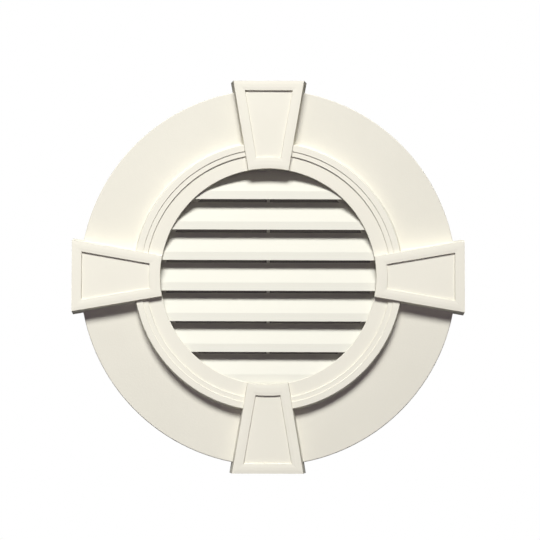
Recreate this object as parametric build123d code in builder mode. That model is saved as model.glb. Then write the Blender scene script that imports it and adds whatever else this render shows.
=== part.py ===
from build123d import *
import os
from math import atan2, cos, degrees, hypot, radians, sin, tan

# Round gable vent with four keystones, in millimetres. It stands upright with its front facing -Y. The
# origin is the centre of the wall plane, where its back edges lie. Every depth is measured forward from it.
# It has three pieces: the moulded face trim, the louvred base behind it, and the insect screen at the back.

# Sizes of the whole vent.
overall_span = 774.7  # across two opposite keystones, at the wall
overall_depth = 45.7  # from the wall to the crown of the keystones
trim_wall = 2.5
base_wall = 2.5

# The flat trim disc and its skirt.
disc_radius = 371.2
disc_depth = 18.8
rim_chamfer = 1.4
skirt_draft = 1.5

# The stepped ring round the louvres, in three bands from the opening out.
opening_radius = 211.3
inner_band = 28.2
middle_band = 9.9
outer_band = 13.4
ring_depth = 39.8
outer_step_drop = 1.7
inner_step_drop = 2.8
step_lean = 0.4
ring_draft = 10.0
ring_chamfer = 1.0
opening_chamfer = 0.8
ring_cove_radius = 4.5  # where the ring meets the disc
ring_cove_flats = 3

# The keystones, each a hollow wedge with a crowned border round a sunk panel.
keystone_half_width = 69.2  # at the outer end of the face
keystone_taper = 9.74  # each side's angle to the wedge's own centre line
side_draft = 7.0
end_draft = 5.0
border = 18.6
inner_border = 21.2
crown_width = 6.5  # the sloped part at each edge of the border
crown_rise = 0.5
crown_fall = 0.5
panel_depth = 4.2
panel_draft = 3.0
keystone_cove_radius = 3.0  # where the sides meet the disc

# The ribs under the disc.
rib_wall = 1.8
rib_back = 6.0
rib_angles = (22.5, 45.0, 67.5)  # in each quarter between two keystones

# The louvres: a lip that leans back a little towards its top, with a sloped web behind and above it.
slat_count = 7
slat_pitch = 60.0
slat_front = 28.5
slat_back = 5.5
slat_lip = 16.0
slat_gap = 4.0  # sight gap from one lip down to the top edge of the next web
slat_wall = 2.2
lip_lean = 3.0
mullion_width = 6.0
mullion_bite = 1.0

# The collar that carries the louvres, and the nailing flange round its back.
collar_clearance = 0.5
flange_clearance = 5.7
flange_wall = 2.5
screw_hole_radius = 2.5
screw_count = 8

# The ratchet that holds the face on the base: sprung fingers over rows of teeth.
finger_count = 8
finger_span = 5.2  # in degrees round the vent
finger_wall = 2.2
finger_back = 4.5
barb_length = 4.0
tooth_rise = 1.2
tooth_ramp = 4.0
tooth_pitch = 6.0
tooth_count = 3
first_tooth_depth = 9.0
tooth_span = 10.0
ratchet_clearance = 0.3

# The insect screen and its seat.
screen_wall = 0.8
screen_back = 1.0
screen_clearance = 0.4
strand_pitch = 38.0
strand_width = 4.0
seat_width = 9.5
seat_wall = 2.2
stake_count = 8
stake_inset = 4.8
stake_width = 3.0
stake_head_width = 5.6
stake_head = 0.6
stake_clearance = 0.3

# Depths and radii that follow from the sizes above.
inner_step_radius = opening_radius + inner_band
outer_step_radius = inner_step_radius + middle_band
ring_radius = outer_step_radius + outer_band
narrow_band_depth = ring_depth - outer_step_drop
wide_band_depth = narrow_band_depth - inner_step_drop
ring_base_radius = ring_radius + (ring_depth - disc_depth) * tan(radians(ring_draft))
skirt_radius = disc_radius + disc_depth * tan(radians(skirt_draft))
lip_back = slat_front + lip_lean + collar_clearance
collar_inner = opening_radius + trim_wall + collar_clearance
collar_outer = collar_inner + base_wall
flange_radius = ring_base_radius - trim_wall - flange_clearance
screw_circle_radius = (collar_outer + flange_radius) / 2
collar_depth = wide_band_depth - trim_wall - collar_clearance
keystone_end = overall_span / 2 - overall_depth * tan(radians(end_draft))
quarter_turns = (0, 90, 180, 270)
finger_turns = [(number + 0.5) * 360 / finger_count for number in range(finger_count)]
bite = 1.0  # how far one form runs into another before they are joined
beyond = 5.0  # how far a cutting form runs past what it cuts
seam_turn = 33.0  # turned forms start between two ribs, clear of the keystones

# A view of the wall plane from the front: x to the right, y up, and depth towards the viewer.
front = Plane(origin=(0, 0, 0), x_dir=(1, 0, 0), z_dir=(0, -1, 0))


def section(*points):
    """Corners of a section through the vent's axis, from pairs of radius and depth."""
    return [(radius, -depth) for radius, depth in points]


def corner(profile, radius, depth):
    """The corner of a profile that lies at a radius and depth."""
    return profile.vertices().sort_by_distance((radius, -depth, 0))[0]


def wedge(side_shift, low, high):
    """Corners of a keystone's outline between two heights, with its sides shifted outwards."""
    slope = tan(radians(keystone_taper))
    side = keystone_half_width + side_shift / cos(radians(keystone_taper)) - keystone_end * slope
    return [
        (-side - low * slope, low),
        (side + low * slope, low),
        (side + high * slope, high),
        (-side - high * slope, high),
    ]


def frame_outline(inset, inner_inset):
    """A keystone's face outline, moved inwards from its sides and from its inner end."""
    Polygon(*wedge(-inset, opening_radius - keystone_half_width, keystone_end - inset), align=None)
    Circle(opening_radius + inner_inset, mode=Mode.SUBTRACT)


def drafted_wedge(inset, back, top):
    """A solid wedge between two depths, with the keystone's drafts, a given wall in from its outside."""
    drafted_by = (overall_depth - back) * tan(radians(side_draft))
    with BuildPart() as solid:
        with BuildSketch(front.offset(back)):
            side_shift = drafted_by - inset / cos(radians(side_draft))
            Polygon(*wedge(side_shift, opening_radius - keystone_half_width, overall_span), align=None)
        extrude(amount=top - back, taper=side_draft)
        with BuildSketch(Plane.YZ):
            end_line = [
                (-depth, overall_span / 2 - depth * tan(radians(end_draft)) - inset / cos(radians(end_draft)))
                for depth in (-2 * beyond, overall_depth + beyond)
            ]
            Polygon(*end_line, (end_line[1][0], overall_span), (end_line[0][0], overall_span), align=None)
        extrude(amount=overall_span, both=True, mode=Mode.SUBTRACT)
    return solid.part


# Underside of the moulded ring and disc, from the return lip in the opening out to the skirt.
underside = (
    (opening_radius + trim_wall, lip_back),
    (opening_radius + trim_wall, wide_band_depth - trim_wall),
    (inner_step_radius + trim_wall / 2, wide_band_depth - trim_wall),
    (inner_step_radius + trim_wall / 2, narrow_band_depth - trim_wall),
    (outer_step_radius + trim_wall / 2, narrow_band_depth - trim_wall),
    (outer_step_radius + trim_wall / 2, ring_depth - trim_wall),
    (ring_radius - trim_wall, ring_depth - trim_wall),
    (ring_base_radius - trim_wall, disc_depth - trim_wall),
    (disc_radius - trim_wall, disc_depth - trim_wall),
    (skirt_radius - trim_wall, 0),
)

# The cove at the foot of the ring, in a few flats from the ring's side round to the disc.
ring_cove_run = ring_cove_radius * tan(radians(90 - ring_draft) / 2)
ring_cove = []
for flat in range(ring_cove_flats + 1):
    turn = radians(ring_draft + (90 - ring_draft) * flat / ring_cove_flats)
    distance_out = ring_base_radius + ring_cove_run - ring_cove_radius * cos(turn)
    ring_cove.append((distance_out, disc_depth + ring_cove_radius * (1 - sin(turn))))

# The outside of the ring and disc is turned from one stepped section, solid to behind the wall plane for now.
with BuildPart() as ring_and_disc:
    with BuildSketch(Plane.XY) as outer_section:
        with BuildLine():
            Polyline(
                *section(
                    (opening_radius - beyond, -beyond),
                    (opening_radius - beyond, wide_band_depth - opening_chamfer - beyond),
                    (opening_radius + opening_chamfer, wide_band_depth),
                    (inner_step_radius, wide_band_depth),
                    (inner_step_radius + step_lean, narrow_band_depth),
                    (outer_step_radius, narrow_band_depth),
                    (outer_step_radius + step_lean, ring_depth),
                    (ring_radius, ring_depth),
                    *ring_cove,
                    (disc_radius, disc_depth),
                    (skirt_radius + beyond * tan(radians(skirt_draft)), -beyond),
                ),
                close=True,
            )
        make_face()
        chamfer(corner(outer_section, ring_radius, ring_depth), ring_chamfer)
        chamfer(corner(outer_section, disc_radius, disc_depth), rim_chamfer)
    revolve(axis=Axis.Y)

# What is taken out of the moulding all round: the room behind the ring and disc, and the opening in front of
# the louvres, which spreads at its front to slope the keystones' inner ends up to their crown.
with BuildPart() as room_and_opening:
    with BuildSketch(Plane.XY):
        with BuildLine():
            Polyline(
                *section(
                    (0, -2 * beyond),
                    (0, overall_depth + crown_rise),
                    (opening_radius + 2 * crown_width, overall_depth + crown_rise),
                    (opening_radius, overall_depth - crown_rise),
                    (opening_radius, lip_back),
                    *underside,
                    (skirt_radius - trim_wall, -2 * beyond),
                ),
                close=True,
            )
        make_face()
    revolve(axis=Axis.Y)

# One keystone at the top: a drafted wedge whose border slopes up to its crown and down to the sunk panel.
with BuildPart() as keystone:
    add(drafted_wedge(0, -beyond, overall_depth))
    plain_face = keystone.faces().sort_by(Axis.Y)[0]
    chamfer(plain_face.edges().sort_by(Axis.Z)[1:], crown_width, crown_rise, reference=plain_face)
    with BuildSketch(front.offset(overall_depth)):
        frame_outline(border - crown_width, inner_border - crown_width)
    extrude(amount=-crown_fall, taper=degrees(atan2(crown_width, crown_fall)), mode=Mode.SUBTRACT)
    with BuildSketch(front.offset(overall_depth - crown_fall)):
        frame_outline(border, inner_border)
    extrude(amount=crown_fall - panel_depth, taper=panel_draft, mode=Mode.SUBTRACT)

# The hollow inside that keystone, one wall in from its outside all round, with a groove under the border.
panel_back = overall_depth - panel_depth - trim_wall
border_back = overall_depth - crown_rise - trim_wall
with BuildPart() as keystone_hollow:
    add(drafted_wedge(trim_wall, -beyond, panel_back))
    with BuildSketch(front.offset(panel_back)):
        frame_outline(trim_wall, trim_wall)
        with BuildSketch(mode=Mode.PRIVATE) as under_panel:
            frame_outline(border - trim_wall, inner_border - trim_wall)
        add(under_panel.sketch, mode=Mode.SUBTRACT)
    extrude(amount=border_back - panel_back)
    with Locations(front):
        Cylinder(opening_radius + trim_wall, 3 * overall_depth, mode=Mode.SUBTRACT)

# The soft inside corner where a keystone's side meets the disc: a cove along the side, trimmed to the disc.
cove_slack = 0.05  # keeps the cove's edges from lying exactly in the disc and in the side
with BuildPart() as corner_coves:
    reach = (overall_depth - disc_depth) * tan(radians(side_draft))
    start, end = [Vector(x, 0, z) for x, z in wedge(reach, ring_radius / 2, keystone_end)[1:3]]
    along = (end - start).normalized()
    outwards = Vector(along.Z, 0, -along.X)
    side_plane = Plane(origin=start - Vector(0, disc_depth, 0), x_dir=outwards, z_dir=-along)
    cove_run = keystone_cove_radius * tan(radians(90 - side_draft) / 2)
    with BuildSketch(side_plane):
        Polygon(
            (-bite, -bite),
            (cove_run, -bite),
            (cove_run, keystone_cove_radius),
            (-cove_run, keystone_cove_radius),
            align=None,
        )
        with Locations((cove_run, keystone_cove_radius)):
            Circle(keystone_cove_radius + cove_slack, mode=Mode.SUBTRACT)
    extrude(amount=-(end - start).length)
    mirror(about=Plane.YZ)
    with BuildSketch(front.offset(disc_depth - 2 * bite)):
        Circle(disc_radius - rim_chamfer - bite)
        Circle(ring_base_radius - trim_wall / 2, mode=Mode.SUBTRACT)
    extrude(amount=keystone_cove_radius + 2 * bite, mode=Mode.INTERSECT)

# One sprung finger under the ring, with a barb that points at the collar.
finger_inner = collar_outer + tooth_rise + ratchet_clearance
barb_front = first_tooth_depth - ratchet_clearance
with BuildPart() as finger:
    with BuildSketch(Plane.XY):
        with BuildLine():
            Polyline(
                *section(
                    (finger_inner, wide_band_depth - trim_wall / 2),
                    (finger_inner, barb_front),
                    (collar_outer + ratchet_clearance, barb_front),
                    (finger_inner, barb_front - barb_length),
                    (finger_inner + finger_wall, finger_back),
                    (finger_inner + finger_wall, wide_band_depth - trim_wall / 2),
                ),
                close=True,
            )
        make_face()
    revolve(axis=Axis.Y, revolution_arc=finger_span)
middle_of_finger = finger.part.rotate(Axis.Y, -finger_span / 2)

# The face trim: ring, disc, keystones, ribs and fingers come out of one mould.
with BuildPart() as face_trim:
    add(ring_and_disc.part.rotate(Axis.Y, seam_turn))
    add([keystone.part.rotate(Axis.Y, turn) for turn in quarter_turns])
    add([corner_coves.part.rotate(Axis.Y, turn) for turn in quarter_turns])
    add(room_and_opening.part.rotate(Axis.Y, seam_turn), mode=Mode.SUBTRACT)
    add([keystone_hollow.part.rotate(Axis.Y, turn) for turn in quarter_turns], mode=Mode.SUBTRACT)
    with BuildSketch(front.offset(-2 * beyond)):
        Rectangle(2 * overall_span, 2 * overall_span)
    extrude(amount=2 * beyond, mode=Mode.SUBTRACT)
    rib_start = ring_base_radius - trim_wall / 2
    rib_end = disc_radius - trim_wall / 2
    with BuildSketch(front.offset(rib_back)):
        for turn in quarter_turns:
            for angle in rib_angles:
                with PolarLocations((rib_start + rib_end) / 2, 1, start_angle=turn + angle):
                    Rectangle(rib_end - rib_start, rib_wall)
    extrude(amount=disc_depth - trim_wall / 2 - rib_back)
    add([middle_of_finger.rotate(Axis.Y, turn) for turn in finger_turns])

# The flange and collar of the base are turned from one section, with the seat for the screen inside.
seat_depth = screen_back + screen_wall
with BuildPart() as collar_and_flange:
    with BuildSketch(Plane.XY):
        with BuildLine():
            Polyline(
                *section(
                    (collar_inner, 0),
                    (collar_inner, seat_depth),
                    (collar_inner - seat_width, seat_depth),
                    (collar_inner - seat_width, seat_depth + seat_wall),
                    (collar_inner, seat_depth + seat_wall),
                    (collar_inner, collar_depth),
                    (collar_outer, collar_depth),
                    (collar_outer, flange_wall),
                    (flange_radius, flange_wall),
                    (flange_radius, 0),
                ),
                close=True,
            )
        make_face()
    revolve(axis=Axis.Y)
    with BuildSketch(front):
        with PolarLocations(screw_circle_radius, screw_count, start_angle=180 / screw_count):
            Circle(screw_hole_radius)
    extrude(amount=flange_wall, mode=Mode.SUBTRACT)

# The louvres run from side to side and end in the collar. They hang in the middle on an upright mullion.
slope_rise = slat_pitch - slat_lip - slat_gap
slope_run = slat_front - slat_back
slope_angle = atan2(slope_run, slope_rise)
lowest_lip = -(slat_count * slat_pitch - slat_gap) / 2
with BuildPart() as louvers:
    with BuildSketch(Plane.YZ):
        for number in range(slat_count):
            bottom = lowest_lip + number * slat_pitch
            crease = bottom + slat_lip
            top = crease + slope_rise
            with BuildLine():
                Polyline(
                    (-(slat_front + lip_lean), bottom),
                    (-slat_front, crease),
                    (-slat_back, top),
                    (-(slat_back - slat_wall * cos(slope_angle)), top - slat_wall * sin(slope_angle)),
                    (-(slat_front - slat_wall), crease - slat_wall * tan(slope_angle / 2)),
                    (-(slat_front + lip_lean - slat_wall), bottom),
                    close=True,
                )
            make_face()
    extrude(amount=collar_outer, both=True)
    with BuildSketch(front.offset(seat_depth)):
        Rectangle(mullion_width, 2 * collar_outer)
    extrude(amount=slat_back + mullion_bite - seat_depth)
    with BuildSketch(front):
        Circle(collar_inner + bite)
    extrude(amount=overall_depth, mode=Mode.INTERSECT)
    add(collar_and_flange.part)

# Rows of ratchet teeth on the collar, one set for each finger: square to the wall side, ramped to the front.
with BuildPart() as teeth:
    with BuildSketch(Plane.XY):
        for number in range(tooth_count):
            tooth_back = first_tooth_depth + number * tooth_pitch
            with BuildLine():
                Polyline(
                    *section(
                        (collar_outer - bite, tooth_back),
                        (collar_outer + tooth_rise, tooth_back),
                        (collar_outer, tooth_back + tooth_ramp),
                        (collar_outer - bite, tooth_back + tooth_ramp),
                    ),
                    close=True,
                )
            make_face()
    revolve(axis=Axis.Y, revolution_arc=tooth_span)
middle_of_teeth = teeth.part.rotate(Axis.Y, -tooth_span / 2)

# The base: flange, collar, louvres, mullion, teeth and screen stakes are one moulding.
stake_circle_radius = collar_inner - stake_inset
with BuildPart() as louver_base:
    add(louvers.part)
    add([middle_of_teeth.rotate(Axis.Y, turn) for turn in finger_turns])
    with BuildSketch(front.offset(screen_back - stake_head)):
        with PolarLocations(stake_circle_radius, stake_count, start_angle=180 / stake_count):
            Rectangle(stake_head_width, stake_head_width)
    extrude(amount=stake_head)
    with BuildSketch(front.offset(screen_back - stake_head / 2)):
        with PolarLocations(stake_circle_radius, stake_count, start_angle=180 / stake_count):
            Rectangle(stake_width, stake_width)
    extrude(amount=stake_head / 2 + screen_wall + bite)

# The insect screen: one thin disc of crossing strands, pierced for the stakes.
screen_radius = collar_inner - screen_clearance
stake_hole_width = stake_width + 2 * stake_clearance
open_radius = collar_inner - seat_width
mesh_hole = strand_pitch - strand_width
half_row = int(open_radius / strand_pitch) + 1
hole_places = [strand_pitch * number for number in range(-half_row, half_row + 1)]
hole_centres = [
    (across, up)
    for across in hole_places
    for up in hole_places
    if hypot(abs(across) + mesh_hole / 2, abs(up) + mesh_hole / 2) < open_radius
]
with BuildPart() as insect_screen:
    with BuildSketch(front.offset(screen_back)):
        Circle(screen_radius)
        with Locations(*hole_centres):
            Rectangle(mesh_hole, mesh_hole, mode=Mode.SUBTRACT)
        with PolarLocations(stake_circle_radius, stake_count, start_angle=180 / stake_count):
            Rectangle(stake_hole_width, stake_hole_width, mode=Mode.SUBTRACT)
    extrude(amount=screen_wall)

os.makedirs("parts", exist_ok=True)
face_trim.part.label = "face_trim"
export_step(face_trim.part, "parts/face_trim.step")
louver_base.part.label = "louver_base"
export_step(louver_base.part, "parts/louver_base.step")
insect_screen.part.label = "insect_screen"
export_step(insect_screen.part, "parts/insect_screen.step")
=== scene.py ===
from math import cos, hypot, radians, sin, tan

import bpy
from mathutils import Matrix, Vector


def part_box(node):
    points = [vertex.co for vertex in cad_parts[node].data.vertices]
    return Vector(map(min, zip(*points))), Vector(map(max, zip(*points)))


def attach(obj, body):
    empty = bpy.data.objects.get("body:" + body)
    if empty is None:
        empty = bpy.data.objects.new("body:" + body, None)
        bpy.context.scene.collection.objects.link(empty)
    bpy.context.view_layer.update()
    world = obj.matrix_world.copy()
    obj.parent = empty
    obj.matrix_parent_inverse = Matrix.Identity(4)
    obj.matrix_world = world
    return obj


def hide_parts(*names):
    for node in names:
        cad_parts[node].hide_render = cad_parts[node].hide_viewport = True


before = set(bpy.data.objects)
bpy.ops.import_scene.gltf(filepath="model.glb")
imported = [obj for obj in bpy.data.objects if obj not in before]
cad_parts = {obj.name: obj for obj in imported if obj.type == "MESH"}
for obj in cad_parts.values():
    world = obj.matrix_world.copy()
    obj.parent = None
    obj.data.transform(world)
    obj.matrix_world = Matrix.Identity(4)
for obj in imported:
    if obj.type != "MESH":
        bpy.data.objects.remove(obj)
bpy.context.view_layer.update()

# Camera
# The vent is seen from the front, with the camera a little below its middle and tilted up at it.
# The picture is square, and the vent's middle lies a few pixels low and left of its middle.
picture_width = 540
focal_pixels = 1180
sensor_width = 36.0
camera_distance = 2.345
camera_drop = 0.074
camera_roll = 0.17
camera_reach = 60
disc_face = -0.0188
middle_left = 1.8
middle_low = 6.6
bpy.ops.object.select_all(action="DESELECT")
bpy.ops.object.camera_add(location=(0, -camera_distance, -camera_drop))
camera = bpy.context.object
camera.name = "camera"
aim = camera.location.copy()
aim.negate()
aim.y += disc_face
camera.rotation_euler = aim.to_track_quat("-Z", "Y").to_euler()
camera.rotation_euler.rotate_axis("Z", radians(camera_roll))
camera.data.sensor_width = sensor_width
camera.data.lens = sensor_width * focal_pixels / picture_width
camera.data.shift_x = middle_left / picture_width
camera.data.shift_y = middle_low / picture_width
camera.data.clip_end = camera_reach
bpy.context.scene.camera = camera


# Face trim
# One moulding in ivory plastic: the flat disc, the stepped ring and the hollow keystones.
# The disc has the very fine grain of the mould. The ring and keystones in front of it are smooth.
def moulded_surface():
    """Grain and tone of every moulded part, fainter in front of a line of depth."""
    group = bpy.data.node_groups.new("moulded_surface", "ShaderNodeTree")
    for taken_in in ("Pebble Size", "Grain Size", "Smooth From"):
        group.interface.new_socket(taken_in, in_out="INPUT", socket_type="NodeSocketFloat")
    for put_out in ("Height", "Tone", "Grained"):
        group.interface.new_socket(put_out, in_out="OUTPUT", socket_type="NodeSocketFloat")
    nodes, links = group.nodes, group.links
    taken = nodes.new("NodeGroupInput")
    given = nodes.new("NodeGroupOutput")
    place = nodes.new("ShaderNodeTexCoord")

    def noise(detail, roughness):
        texture = nodes.new("ShaderNodeTexNoise")
        texture.inputs["Detail"].default_value = detail
        texture.inputs["Roughness"].default_value = roughness
        links.new(place.outputs["Object"], texture.inputs["Vector"])
        return texture

    pebble = noise(detail=2.0, roughness=0.5)
    links.new(taken.outputs["Pebble Size"], pebble.inputs["Scale"])
    grain = noise(detail=3.0, roughness=0.6)
    links.new(taken.outputs["Grain Size"], grain.inputs["Scale"])
    height = nodes.new("ShaderNodeMix")
    height.data_type = "FLOAT"
    height.inputs["Factor"].default_value = 0.4
    links.new(pebble.outputs["Fac"], height.inputs["A"])
    links.new(grain.outputs["Fac"], height.inputs["B"])

    depth = nodes.new("ShaderNodeSeparateXYZ")
    links.new(place.outputs["Object"], depth.inputs["Vector"])
    behind = nodes.new("ShaderNodeMath")
    behind.operation = "SUBTRACT"
    links.new(depth.outputs["Y"], behind.inputs[0])
    links.new(taken.outputs["Smooth From"], behind.inputs[1])
    grained = nodes.new("ShaderNodeMapRange")
    grained.inputs["From Min"].default_value = 0.0
    grained.inputs["From Max"].default_value = 0.0008
    links.new(behind.outputs["Value"], grained.inputs["Value"])
    links.new(grained.outputs["Result"], given.inputs["Grained"])

    share = nodes.new("ShaderNodeMapRange")
    share.inputs["To Min"].default_value = 0.35
    share.inputs["To Max"].default_value = 1.0
    links.new(grained.outputs["Result"], share.inputs["Value"])
    kept = nodes.new("ShaderNodeMath")
    kept.operation = "MULTIPLY"
    links.new(height.outputs["Result"], kept.inputs[0])
    links.new(share.outputs["Result"], kept.inputs[1])
    links.new(kept.outputs["Value"], given.inputs["Height"])

    drift = noise(detail=4.0, roughness=0.65)
    drift.inputs["Scale"].default_value = 5.0
    links.new(drift.outputs["Fac"], given.inputs["Tone"])
    return group


def new_finish(name):
    """A new material, with its nodes, its links and its shader."""
    material = bpy.data.materials.new(name)
    material.use_nodes = True
    tree = material.node_tree
    return material, tree.nodes, tree.links, tree.nodes["Principled BSDF"]


def two_tones(nodes, deep_tone, deep_at, light_tone, light_at):
    """Colour that runs from a deep tone to a light one."""
    tone = nodes.new("ShaderNodeValToRGB")
    deep, light = tone.color_ramp.elements
    deep.position, deep.color = deep_at, (*deep_tone, 1)
    light.position, light.color = light_at, (*light_tone, 1)
    return tone


def moulded_plastic(
    name, light_tone, deep_tone, pebble_size, grain_size, grain_depth, smooth_from
):
    """Dull moulded plastic between two near tones, with the shared grain and no mirror shine."""
    grained_tone = 0.94
    material, nodes, links, shader = new_finish(name)
    shader.inputs["Specular IOR Level"].default_value = 0.0
    surface = nodes.new("ShaderNodeGroup")
    surface.node_tree = bpy.data.node_groups.get("moulded_surface") or moulded_surface()
    surface.inputs["Pebble Size"].default_value = pebble_size
    surface.inputs["Grain Size"].default_value = grain_size
    surface.inputs["Smooth From"].default_value = smooth_from

    tone = two_tones(nodes, deep_tone, deep_at=0.3, light_tone=light_tone, light_at=0.7)
    links.new(surface.outputs["Tone"], tone.inputs["Fac"])
    shade = nodes.new("ShaderNodeMix")
    shade.data_type = "RGBA"
    shade.blend_type = "MULTIPLY"
    shade.inputs["B"].default_value = (grained_tone, grained_tone, grained_tone, 1)
    links.new(surface.outputs["Grained"], shade.inputs["Factor"])
    links.new(tone.outputs["Color"], shade.inputs["A"])
    links.new(shade.outputs["Result"], shader.inputs["Base Color"])

    dullness = nodes.new("ShaderNodeMapRange")
    dullness.inputs["From Min"].default_value = 0.3
    dullness.inputs["From Max"].default_value = 0.7
    dullness.inputs["To Min"].default_value = 0.5
    dullness.inputs["To Max"].default_value = 0.62
    links.new(surface.outputs["Height"], dullness.inputs["Value"])
    links.new(dullness.outputs["Result"], shader.inputs["Roughness"])

    bump = nodes.new("ShaderNodeBump")
    bump.inputs["Strength"].default_value = 0.6
    bump.inputs["Distance"].default_value = grain_depth
    links.new(surface.outputs["Height"], bump.inputs["Height"])
    links.new(bump.outputs["Normal"], shader.inputs["Normal"])
    return material


face_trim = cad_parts["face_trim"]
trim_finish = moulded_plastic(
    "ivory_trim",
    light_tone=(0.741, 0.719, 0.623),
    deep_tone=(0.717, 0.695, 0.60),
    pebble_size=260,
    grain_size=900,
    grain_depth=0.00035,
    smooth_from=-0.0202,
)
face_trim.material_slots[0].material = trim_finish


# Panel edges
# Round each keystone's sunk panel the moulding leans in down to the panel, so that it leaves its
# mould cleanly. It is part of the face trim's ivory plastic, and the four are alike, a quarter
# turn apart.
def upright_circle(name, radius, depth, vertices, fill_type):
    """Circle round the vent's middle that faces the front, with its place in its mesh."""
    bpy.ops.object.select_all(action="DESELECT")
    bpy.ops.mesh.primitive_circle_add(
        vertices=vertices,
        radius=radius,
        fill_type=fill_type,
        location=(0, depth, 0),
        rotation=(radians(90), 0, 0),
    )
    circle = bpy.context.object
    circle.name = name
    bpy.ops.object.transform_apply(location=True, rotation=True, scale=True)
    return circle


# The recess's sides, carried on inwards, cross before they reach the vent's middle, so its half
# width there is negative.
recess_front = 0.0452
recess_inner_radius = 0.2325
recess_outer_end = 0.36475
recess_half_width = -0.01547
keystone_taper = radians(9.74)
panel_front = 0.0415
edge_sink = 0.0002
edge_lean = radians(12.0)
ring_stretch = 2
near = 0.00005
edge_depth = recess_front - panel_front + edge_sink
edge_foot = edge_depth - recess_front
panel_edge = upright_circle(
    "panel_edge", recess_inner_radius, edge_foot, vertices=240, fill_type="NOTHING"
)
bpy.ops.object.mode_set(mode="EDIT")
bpy.ops.mesh.select_mode(type="EDGE")
bpy.ops.mesh.select_all(action="SELECT")
bpy.ops.mesh.extrude_edges_move()
bpy.ops.transform.resize(
    value=(ring_stretch, 1, ring_stretch), center_override=(0, edge_foot, 0)
)
bpy.ops.mesh.select_all(action="SELECT")
bpy.ops.mesh.bisect(plane_co=(0, 0, recess_outer_end), plane_no=(0, 0, 1), clear_outer=True)
for side in (-1, 1):
    bpy.ops.mesh.select_all(action="SELECT")
    bpy.ops.mesh.bisect(
        plane_co=(side * recess_half_width, 0, 0),
        plane_no=(side * cos(keystone_taper), 0, -sin(keystone_taper)),
        clear_outer=True,
    )
bpy.ops.mesh.select_mode(type="FACE")
bpy.ops.mesh.select_all(action="SELECT")
bpy.ops.mesh.dissolve_faces()
bpy.ops.mesh.select_all(action="SELECT")
bpy.ops.mesh.inset(thickness=edge_depth * tan(edge_lean), use_boundary=True)
bpy.ops.mesh.delete(type="FACE")
bpy.ops.mesh.select_mode(type="EDGE")
bpy.ops.mesh.select_all(action="DESELECT")
bpy.ops.object.mode_set(mode="OBJECT")

# A narrow rim round the panel is left. Its outer line rises to the front of the recess, and its
# inner line stays down at the panel.
outline = set()
for corner in panel_edge.data.vertices:
    x, _, z = corner.co
    from_side = abs(x) - recess_half_width - z * tan(keystone_taper)
    from_outer_end = z - recess_outer_end
    from_inner_end = hypot(x, z) - recess_inner_radius
    if min(abs(from_side), abs(from_outer_end), abs(from_inner_end)) < near:
        outline.add(corner.index)
for line in panel_edge.data.edges:
    line.select = outline.issuperset(line.vertices)
bpy.ops.object.mode_set(mode="EDIT")
bpy.ops.mesh.extrude_edges_move(TRANSFORM_OT_translate={"value": (0, -edge_depth, 0)})
bpy.ops.mesh.select_all(action="DESELECT")
bpy.ops.mesh.select_non_manifold(
    use_wire=False, use_multi_face=False, use_non_contiguous=False, use_verts=False
)
bpy.ops.mesh.bridge_edge_loops()
bpy.ops.mesh.select_all(action="SELECT")
bpy.ops.mesh.normals_make_consistent(inside=False)
bpy.ops.object.mode_set(mode="OBJECT")
panel_edge.data.materials.append(trim_finish)

for place in ("top", "right", "bottom", "left"):
    if place != "top":
        bpy.ops.object.duplicate()
        panel_edge = bpy.context.object
        panel_edge.rotation_euler.y = radians(90)
        bpy.ops.object.transform_apply(location=True, rotation=True, scale=True)
    panel_edge.name = "panel_edge_" + place
    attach(panel_edge, "root")

# Louvre base
# One moulding behind the face: nailing flange, collar and seven louvres on an upright mullion.
# The louvres come from smoother cavities than the disc, so their grain is finer and shallower.
louver_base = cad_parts["louver_base"]
louvre_finish = moulded_plastic(
    "ivory_louvre",
    light_tone=(0.684, 0.675, 0.594),
    deep_tone=(0.668, 0.659, 0.579),
    pebble_size=420,
    grain_size=1300,
    grain_depth=0.0002,
    smooth_from=-0.06,
)
louver_base.material_slots[0].material = louvre_finish


# Sill
# The lowest louvre's lip runs on down into the collar as a short upright sill, which closes the
# opening at its foot. It is part of the louvre base's moulding and stands in the lip's own plane.
def thicken(piece, thickness):
    """Give a flat piece its wall, half of it on each side."""
    wall = piece.modifiers.new("wall", "SOLIDIFY")
    wall.thickness = thickness
    wall.offset = 0
    bpy.ops.object.modifier_apply(modifier=wall.name)


sill_front = 0.0315
sill_wall = 0.0022
sill_top = -0.2065
collar_bore = 0.2143
sill = upright_circle(
    "sill", collar_bore, sill_wall / 2 - sill_front, vertices=256, fill_type="NGON"
)
bpy.ops.object.mode_set(mode="EDIT")
bpy.ops.mesh.select_all(action="SELECT")
bpy.ops.mesh.bisect(plane_co=(0, 0, sill_top), plane_no=(0, 0, 1), clear_outer=True)
bpy.ops.object.mode_set(mode="OBJECT")
thicken(sill, sill_wall)
sill.data.materials.append(louvre_finish)
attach(sill, "root")

# Insect screen
# Coated glass-fibre yarns, welded at their crossings to a stiff flat mesh in a moulded edge band.
# The band lies on the seat at the back of the louvre base and is held there by its stakes.
screen_low, screen_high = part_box("insect_screen")
screen_radius = screen_high.x
screen_middle = (screen_low.y + screen_high.y) / 2
band_width = 0.009
mesh_pitch = 0.0052
yarn = 0.0008
mesh_width = 2 * screen_radius
mesh_cells = round(mesh_width / mesh_pitch)

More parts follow.
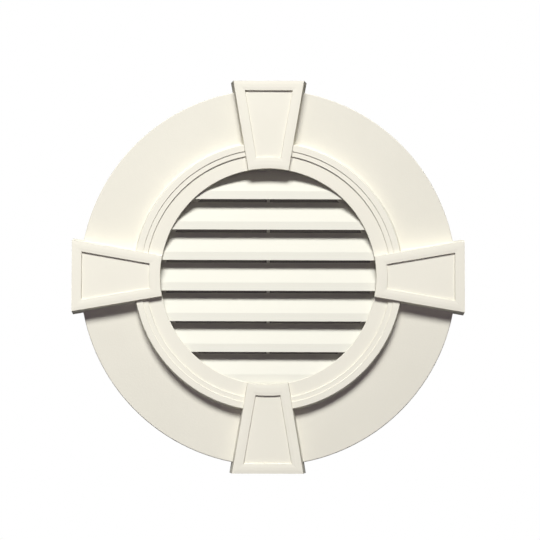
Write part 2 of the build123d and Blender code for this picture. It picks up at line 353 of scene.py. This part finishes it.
bpy.ops.object.select_all(action="DESELECT")
bpy.ops.mesh.primitive_grid_add(
    x_subdivisions=mesh_cells,
    y_subdivisions=mesh_cells,
    size=mesh_width,
    location=(0, screen_middle, 0),
    rotation=(radians(90), 0, 0),
)
screen_yarns = bpy.context.object
screen_yarns.name = "screen_yarns"
bpy.ops.object.transform_apply(location=True, rotation=True, scale=True)
bpy.ops.object.mode_set(mode="EDIT")
bpy.ops.mesh.select_mode(type="FACE")
bpy.ops.mesh.select_all(action="DESELECT")
bpy.ops.object.mode_set(mode="OBJECT")
for face in screen_yarns.data.polygons:
    face.select = hypot(face.center.x, face.center.z) > screen_radius - band_width / 2
bpy.ops.object.mode_set(mode="EDIT")
bpy.ops.mesh.delete(type="FACE")
bpy.ops.object.mode_set(mode="OBJECT")
weld = screen_yarns.modifiers.new("weld", "WIREFRAME")
weld.thickness = yarn
weld.use_even_offset = True
weld.use_replace = True
weld.use_boundary = True
bpy.ops.object.modifier_apply(modifier=weld.name)

edge_band = upright_circle(
    "screen_edge_band", screen_radius, screen_middle, vertices=128, fill_type="NOTHING"
)
band_share = (screen_radius - band_width) / screen_radius
bpy.ops.object.mode_set(mode="EDIT")
bpy.ops.mesh.select_all(action="SELECT")
bpy.ops.mesh.extrude_edges_move()
bpy.ops.transform.resize(
    value=(band_share, 1, band_share), center_override=(0, screen_middle, 0)
)
bpy.ops.mesh.select_all(action="SELECT")
bpy.ops.mesh.normals_make_consistent(inside=False)
bpy.ops.object.mode_set(mode="OBJECT")
thicken(edge_band, screen_high.y - screen_low.y)


def coated_yarn():
    """Charcoal coating on fine yarn, a little paler and drier in places."""
    material, nodes, links, shader = new_finish("charcoal_yarn")
    place = nodes.new("ShaderNodeTexCoord")
    patches = nodes.new("ShaderNodeTexNoise")
    patches.inputs["Scale"].default_value = 40
    patches.inputs["Detail"].default_value = 4
    links.new(place.outputs["Object"], patches.inputs["Vector"])
    tone = two_tones(
        nodes,
        deep_tone=(0.022, 0.022, 0.023),
        deep_at=0.35,
        light_tone=(0.05, 0.05, 0.05),
        light_at=0.75,
    )
    links.new(patches.outputs["Fac"], tone.inputs["Fac"])
    links.new(tone.outputs["Color"], shader.inputs["Base Color"])
    dryness = nodes.new("ShaderNodeMapRange")
    dryness.inputs["To Min"].default_value = 0.45
    dryness.inputs["To Max"].default_value = 0.7
    links.new(patches.outputs["Fac"], dryness.inputs["Value"])
    links.new(dryness.outputs["Result"], shader.inputs["Roughness"])
    return material


charcoal = coated_yarn()
for piece in (screen_yarns, edge_band):
    piece.data.materials.append(charcoal)
    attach(piece, "root")
    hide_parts("insect_screen")

# Room behind the wall
# The cut opening in the wall leads to an unlit loft. A dark round sheet stands for it just behind
# the screen. It is seen only from the front, so the back of the vent stays open to view.
room_gap = 0.002
dark_room = upright_circle(
    "dark_room", screen_radius, room_gap, vertices=96, fill_type="NGON"
)


def unlit_from_the_front():
    """Near-black when seen from the front and clear when seen from the back."""
    material, nodes, links, shader = new_finish("unlit_loft")
    shader.inputs["Base Color"].default_value = (0.08, 0.075, 0.07, 1)
    shader.inputs["Roughness"].default_value = 0.9
    shader.inputs["Emission Color"].default_value = (1.0, 0.88, 0.78, 1)
    shader.inputs["Emission Strength"].default_value = 0.05
    side = nodes.new("ShaderNodeNewGeometry")
    clear = nodes.new("ShaderNodeBsdfTransparent")
    choice = nodes.new("ShaderNodeMixShader")
    links.new(side.outputs["Backfacing"], choice.inputs[0])
    links.new(shader.outputs["BSDF"], choice.inputs[1])
    links.new(clear.outputs["BSDF"], choice.inputs[2])
    links.new(choice.outputs["Shader"], nodes["Material Output"].inputs["Surface"])
    return material


dark_room.data.materials.append(unlit_from_the_front())

# Floor
# A pale studio floor well below the vent, which hangs on a wall.
# It thins out to the white of the studio.
floor_drop = 3.0
floor_radius = 1.6
full_floor_radius = 0.5
bpy.ops.object.select_all(action="DESELECT")
bpy.ops.mesh.primitive_circle_add(
    vertices=96, radius=floor_radius, fill_type="NGON", location=(0, 0, -floor_drop)
)
floor = bpy.context.object
floor.name = "floor"
bpy.ops.object.transform_apply(location=True, rotation=True, scale=True)


def pale_floor():
    """White floor that fades to nothing at its edge."""
    material, nodes, links, shader = new_finish("pale_floor")
    shader.inputs["Base Color"].default_value = (0.93, 0.93, 0.93, 1)
    shader.inputs["Roughness"].default_value = 0.8
    place = nodes.new("ShaderNodeTexCoord")
    level = nodes.new("ShaderNodeVectorMath")
    level.operation = "MULTIPLY"
    level.inputs[1].default_value = (1, 1, 0)
    links.new(place.outputs["Object"], level.inputs[0])
    distance = nodes.new("ShaderNodeVectorMath")
    distance.operation = "LENGTH"
    links.new(level.outputs["Vector"], distance.inputs[0])
    fade = nodes.new("ShaderNodeMapRange")
    fade.interpolation_type = "SMOOTHSTEP"
    fade.inputs["From Min"].default_value = full_floor_radius
    fade.inputs["From Max"].default_value = floor_radius
    fade.inputs["To Min"].default_value = 1.0
    fade.inputs["To Max"].default_value = 0.0
    links.new(distance.outputs["Value"], fade.inputs["Value"])
    links.new(fade.outputs["Result"], shader.inputs["Alpha"])
    return material


floor.data.materials.append(pale_floor())

# Light
# One wide soft lamp stands above and in front, a little to the left, so the shadows fall almost
# straight down. Weak round lamps at the left and straight in front open them, and two behind light
# the hollow back. The studio itself gives a faint even fill, and reads as white behind the vent.
lamp_distance = 8.5
lamp_height_angle = 43.5
lamp_side_angle = 6.0
lamp_turn = 14.5
lamp_lift = 0.8
lamp_width = 4.7
lamp_height = 2.7
lamp_power = 308
lamp_spread = radians(90)
bpy.ops.object.light_add(type="AREA", location=(0, 0, lamp_distance))
lamp = bpy.context.object
lamp.name = "large_lamp"
lamp.rotation_euler = (radians(90 - lamp_height_angle), 0, radians(-lamp_side_angle))
lamp.location.rotate(lamp.rotation_euler)
lamp.rotation_euler.x += radians(lamp_lift)
lamp.rotation_euler.z += radians(lamp_turn)
lamp.data.shape = "ELLIPSE"
lamp.data.size = lamp_width
lamp.data.size_y = lamp_height
lamp.data.energy = lamp_power
lamp.data.spread = lamp_spread


def round_lamp(name, place, width, power):
    """Weak round lamp that faces the vent's middle."""
    bpy.ops.object.light_add(type="AREA", location=place)
    lamp = bpy.context.object
    lamp.name = name
    lamp.rotation_euler = lamp.location.to_track_quat("Z", "Y").to_euler()
    lamp.data.shape = "DISK"
    lamp.data.size = width
    lamp.data.energy = power
    return lamp.data


round_lamp("side_lamp", place=(-4.0, -2.5, 0.6), width=2.5, power=2.5)
front_lamp = round_lamp("front_lamp", place=(0, -6.0, -0.2), width=2.0, power=30)
front_lamp.color = (0.96, 0.80, 1.0)
for side in (-1, 1):
    back_lamp = round_lamp("back_lamp", place=(side * 1.3, 5.8, 1.2), width=2.5, power=55)
    back_lamp.spread = lamp_spread

studio = bpy.data.worlds.new("studio")
bpy.context.scene.world = studio
studio.use_nodes = True
nodes, links = studio.node_tree.nodes, studio.node_tree.links
nodes.clear()
fill = nodes.new("ShaderNodeBackground")
fill.inputs["Color"].default_value = (0.92, 0.82, 1.0, 1)
fill.inputs["Strength"].default_value = 0.015
white = nodes.new("ShaderNodeBackground")
white.inputs["Color"].default_value = (1, 1, 1, 1)
white.inputs["Strength"].default_value = 1.0
ray = nodes.new("ShaderNodeLightPath")
seen_or_mirrored = nodes.new("ShaderNodeMath")
seen_or_mirrored.operation = "MAXIMUM"
links.new(ray.outputs["Is Camera Ray"], seen_or_mirrored.inputs[0])
links.new(ray.outputs["Is Glossy Ray"], seen_or_mirrored.inputs[1])
seen = nodes.new("ShaderNodeMath")
seen.operation = "MAXIMUM"
links.new(seen_or_mirrored.outputs["Value"], seen.inputs[0])
links.new(ray.outputs["Is Transmission Ray"], seen.inputs[1])
both = nodes.new("ShaderNodeMixShader")
links.new(seen.outputs["Value"], both.inputs[0])
links.new(fill.outputs["Background"], both.inputs[1])
links.new(white.outputs["Background"], both.inputs[2])
world_output = nodes.new("ShaderNodeOutputWorld")
links.new(both.outputs["Shader"], world_output.inputs["Surface"])

bpy.context.scene.view_settings.view_transform = "Standard"
